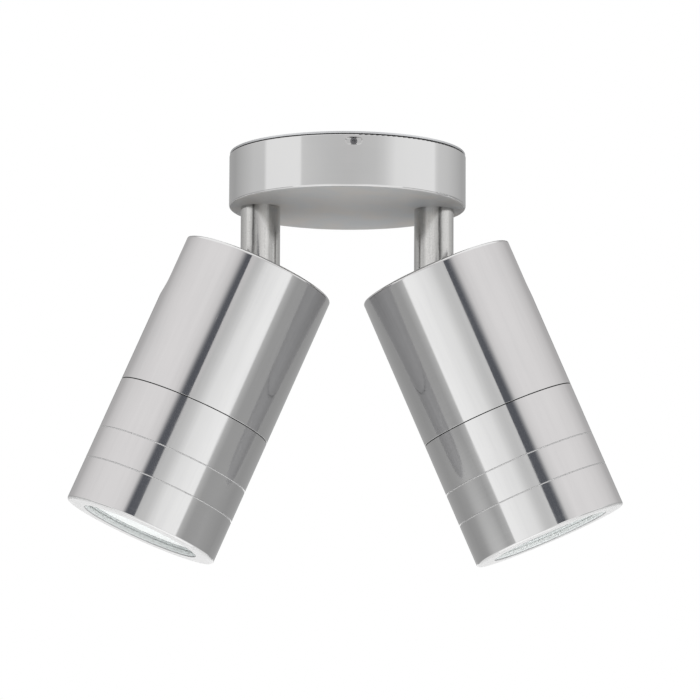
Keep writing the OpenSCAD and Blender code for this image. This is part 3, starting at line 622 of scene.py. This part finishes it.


# Lengthwise streaks and painted reflections round a stem: the angle from the front in degrees, outwards
# positive, and the tone
STEM_STREAKS_AND_REFLECTIONS = {
    "left": [
        (-180, 0.62), (-150, 0.74), (-132, 0.60), (-112, 0.66), (-88, 0.72), (-64, 0.62), (-50, 0.60),
        (-42, 0.52), (-34, 0.44), (-25, 0.46), (-19, 0.84), (-14, 1.0), (-3, 0.97), (4, 0.84), (11, 0.66),
        (16, 0.50), (19, 0.34), (22, 0.11), (25.5, 0.12), (28.5, 0.46), (36, 0.66), (44, 0.70), (60, 0.66),
        (84, 0.74), (104, 0.60), (120, 0.72), (136, 0.50), (158, 0.72), (180, 0.62)
    ],
    "right": [
        (-180, 0.62), (-150, 0.74), (-132, 0.60), (-112, 0.66), (-88, 0.72), (-64, 0.62), (-50, 0.50),
        (-36, 0.48), (-30, 0.62), (-25, 0.98), (-12, 1.0), (-4, 0.96), (3, 0.76), (9, 0.54), (10.5, 0.10),
        (14, 0.11), (17.5, 0.28), (21, 0.50), (24, 0.60), (30, 0.68), (42, 0.70), (55, 0.68), (70, 0.60),
        (84, 0.70), (104, 0.60), (120, 0.72), (136, 0.50), (158, 0.72), (180, 0.62)
    ]
}
STEM_TINT = (1.0, 0.99, 0.97)


def stem_steel(side):
    """Drawn bar, brushed lengthwise, with soft streaks, painted reflections as bright and dark bands along
    it, and a fine speckle.
    """
    material, n = material_of(f"{side}_stem_steel")
    place = n.add("ShaderNodeMapping", {
        "Vector": n.object_place(), "Location": (-SIDES[side] * PIVOT.x, 0.0, 0.0)
    }).outputs[0]
    x, y = n.split(place)[:2]
    outwards = n.times(x, SIDES[side])
    angle = n.math("DIVIDE", n.math("ARCTAN2", outwards, n.times(y, -1.0)), 2 * math.pi)
    waver = n.drawn_noise(place, STEM_WAVER_SCALE, 2.0, 0.5)
    angle = n.plus(angle, n.between(waver, (0.0, 1.0), (0.49, 0.51)))
    stops = [(degrees / 360 + 0.5, tone) for degrees, tone in STEM_STREAKS_AND_REFLECTIONS[side]]
    # Painted reflections: the bright and dark bands towards the front of each stem; the tones round the back
    # are streaks of the drawn finish
    streaks_and_painted_reflections = n.ramp(angle, stops, STEM_TINT)
    grain = n.drawn_noise(place, STEM_GRAIN_SCALE)
    specks = n.noise(place, STEM_SPECK_SCALE, 2.0, 0.6)
    speckle = n.mix(n.between(specks, (0.38, 0.62)), rgb(0.22, 0.22, 0.21), rgb(1.0, 1.0, 0.99))
    n.finish(n.add("ShaderNodeBsdfPrincipled", {
        "Base Color": n.mix(n.between(grain, (0.35, 0.65), (0.02, 0.26)), streaks_and_painted_reflections, speckle),
        "Metallic": 1.0, "Roughness": n.between(specks, (0.3, 0.7), (0.10, 0.20)),
        "Normal": n.bump(n.plus(grain, specks), *STEM_BUMP)
    }))
    return material


# Other materials

METAL_GRAIN_SCALE = 900.0
METAL_CLOUD_SCALE = 75.0
METAL_BUMP = (0.2, 0.00003)
MOULDED_BUMP_STRENGTH = 0.3
MOULDED_GRAIN_PER_CLOUD = 15
GLASS_HAZE_SCALE = 120.0
LENS_FACET_SCALE = 330.0
LENS_BUMP = (0.08, 0.0001)

# Scale of the grain in 1/m, and its depth
MOULDED_GRAIN = (1500.0, 0.00004)
FIBRE_GRAIN = (2600.0, 0.0001)
CERAMIC_GRAIN = (3000.0, 0.00008)


def grained(name, tones, rough, scale, cloud_scale, bump, metallic=0.0):
    """A plain finish with clouds of two tones and a fine grain in its roughness and height."""
    material, n = material_of(name)
    place = n.object_place()
    grain = n.noise(place, scale, 3.0, 0.6)
    clouds = n.noise(place, cloud_scale, 3.0, 0.5)
    n.finish(n.add("ShaderNodeBsdfPrincipled", {
        "Base Color": n.mix(clouds, *tones), "Metallic": metallic,
        "Roughness": n.between(grain, (0.3, 0.7), rough), "Normal": n.bump(grain, *bump)
    }))
    return material


def metal(name, dark, light, rough, metallic=1.0):
    return grained(name, (dark, light), rough, METAL_GRAIN_SCALE, METAL_CLOUD_SCALE, METAL_BUMP, metallic)


def moulded(name, dark, light, rough, grain=MOULDED_GRAIN):
    scale, depth = grain
    bump = (MOULDED_BUMP_STRENGTH, depth)
    return grained(name, (dark, light), rough, scale, scale / MOULDED_GRAIN_PER_CLOUD, bump)


def clear_glass():
    """Glass that the camera sees through, and that light and reflections pass as if it were thin."""
    material, n = material_of("front_glass")
    haze = n.noise(n.object_place(), GLASS_HAZE_SCALE, 4.0, 0.6)
    glass = n.add("ShaderNodeBsdfPrincipled", {
        "Base Color": n.mix(haze, rgb(0.97, 0.98, 0.98), rgb(0.985, 0.99, 0.99)),
        "Roughness": n.between(haze, (0.4, 0.7), (0.0, 0.02)), "IOR": 1.5, "Transmission Weight": 1.0
    })
    thin = n.add("ShaderNodeBsdfTransparent", {"Color": rgb(0.94, 0.96, 0.955)})
    rays = n.rays()
    n.finish_pair(n.most(rays["Is Diffuse Ray"], rays["Is Glossy Ray"], rays["Is Shadow Ray"]), glass, thin)
    return material


def frosted_lens(side):
    """Moulded lens with rows of small facets on its face."""
    material, n = material_of(f"{side}_lens")
    x, y = n.split(head_place(n, side))[:2]
    facets = n.add("ShaderNodeTexVoronoi", {
        "Vector": n.join(x, y, 0.0), "Scale": LENS_FACET_SCALE, "Randomness": 0.15
    }).outputs["Distance"]
    n.finish(n.add("ShaderNodeBsdfPrincipled", {
        "Base Color": n.mix(facets, rgb(0.97, 0.98, 0.98), rgb(0.94, 0.955, 0.95)),
        "Roughness": n.between(facets, (0.0, 0.6), (0.35, 0.5)), "IOR": 1.49, "Specular IOR Level": 0.2,
        "Transmission Weight": 0.05, "Normal": n.bump(facets, *LENS_BUMP)
    }))
    return material


# Painting

def paint(material, *nodes):
    for name in nodes:
        mesh = frame["nodes"][name].data
        mesh.materials.clear()
        mesh.materials.append(material)


def paint_sides(material, *nodes):
    for side in SIDES:
        paint(material, *(f"{side}_{name}" for name in nodes))


def paint_steel():
    paint(base_steel(), "base_cup")
    for side in SIDES:
        paint(head_steel(side), f"{side}_head_body", f"{side}_front_cap")
        paint(stem_steel(side), f"{side}_stem")


def paint_metals():
    zinc = metal("zinc_plate", rgb(0.68, 0.69, 0.71), rgb(0.78, 0.79, 0.80), (0.18, 0.32))
    pale = metal("pale_zinc", rgb(0.91, 0.915, 0.92), rgb(0.94, 0.945, 0.95), (0.4, 0.55), metallic=0.2)
    dark = metal("dark_screws", rgb(0.16, 0.16, 0.17), rgb(0.26, 0.26, 0.27), (0.28, 0.45))
    brass = metal("bright_brass", rgb(0.72, 0.55, 0.26), rgb(0.82, 0.66, 0.36), (0.18, 0.32))
    paint(zinc, "wall_plate", "earth_stud")
    paint(dark, "side_screws")
    paint(brass, "terminal_screws", "earth_nut")
    paint_sides(zinc, "swivel_washer", "holder_screws", "bulkhead", "pivot_bracket", "pivot_nut")
    paint_sides(pale, "glass_ring")
    paint_sides(dark, "bulkhead_screws", "pivot_bolt")
    paint_sides(brass, "locknut", "lamp_pins")


def paint_moulded(sleeve):
    rubber = moulded("black_rubber", rgb(0.018), rgb(0.03), (0.55, 0.75))
    fibre = moulded("friction_fibre", rgb(0.16, 0.09, 0.06), rgb(0.26, 0.17, 0.11), (0.7, 0.9), FIBRE_GRAIN)
    nylon = moulded("white_nylon", rgb(0.80, 0.80, 0.78), rgb(0.86, 0.86, 0.84), (0.35, 0.5))
    seal = moulded("white_silicone", rgb(0.90, 0.90, 0.895), rgb(0.93, 0.93, 0.925), (0.4, 0.55))
    white = moulded("lamp_housing", rgb(0.84), rgb(0.89), (0.2, 0.32))
    ceramic = moulded("steatite", rgb(0.78, 0.74, 0.66), rgb(0.86, 0.83, 0.76), (0.6, 0.8), CERAMIC_GRAIN)
    paint(rubber, "base_seal", "cable_grommet")
    paint(nylon, "terminal_block")
    paint(sleeve, "base_leads")
    paint_sides(rubber, "stem_seal", "cap_seal", "lead_grommet")
    paint_sides(seal, "glass_seal")
    paint_sides(fibre, "friction_washers")
    paint_sides(sleeve, "stem_lead", "lamp_lead")
    paint_sides(white, "lamp_body")
    paint_sides(ceramic, "lampholder")


def paint_glass():
    paint_sides(clear_glass(), "glass")
    for side in SIDES:
        paint(frosted_lens(side), f"{side}_lamp_lens")


# Free leads between the stems and the bulkheads. The real leads bend as the heads tilt; these are drawn in
# one fixed shape.

LOOP_R = 0.0022
LOOP_CURVE = ((0.0256, -0.0539), (0.0196, -0.0539), (0.020687, -0.067182), (0.024316, -0.075527))
LOOP_STEPS = 28
LOOP_SIDES = 16


def curve_place(t):
    """The place and the heading of the lead's middle line in the plane of X and Z, for t from 0 to 1."""
    a, b, c, d = (Vector(point) for point in LOOP_CURVE)
    u = 1.0 - t
    place = u ** 3 * a + 3 * u * u * t * b + 3 * u * t * t * c + t ** 3 * d
    heading = (u * u * (b - a) + 2 * u * t * (c - b) + t * t * (d - c)).normalized()
    return place, heading


def make_lead_loop(name, side, material):
    points = []
    for i in range(LOOP_STEPS + 1):
        place, heading = curve_place(i / LOOP_STEPS)
        across = Vector((-heading.y, heading.x))
        for j in range(LOOP_SIDES):
            turn = 2 * math.pi * j / LOOP_SIDES
            reach = LOOP_R * math.cos(turn)
            points.append((
                side * (place.x + reach * across.x), LOOP_R * math.sin(turn), place.y + reach * across.y
            ))
    faces = []
    for i in range(LOOP_STEPS):
        for j in range(LOOP_SIDES):
            k = (j + 1) % LOOP_SIDES
            a, b = i * LOOP_SIDES, (i + 1) * LOOP_SIDES
            faces.append((a + j, a + k, b + k, b + j))
    faces.append(tuple(reversed(range(LOOP_SIDES))))
    faces.append(tuple(LOOP_STEPS * LOOP_SIDES + j for j in range(LOOP_SIDES)))
    if side > 0:
        faces = [tuple(reversed(face)) for face in faces]
    loop = add_mesh(f"{name}_lead_loop", points, faces)
    for face in loop.data.polygons:
        face.use_smooth = len(face.vertices) == 4
    loop.data.materials.append(material)
    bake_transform(loop)


make_camera()
make_world()
make_flags()
make_card()
make_lamps()
make_floor()
sleeve_material = moulded("silicone_sleeve", rgb(0.72, 0.72, 0.69), rgb(0.82, 0.82, 0.80), (0.45, 0.6))
paint_steel()
paint_metals()
paint_moulded(sleeve_material)
paint_glass()
for name, side in SIDES.items():
    make_lead_loop(name, side, sleeve_material)

bpy.context.scene.view_settings.view_transform = "Standard"
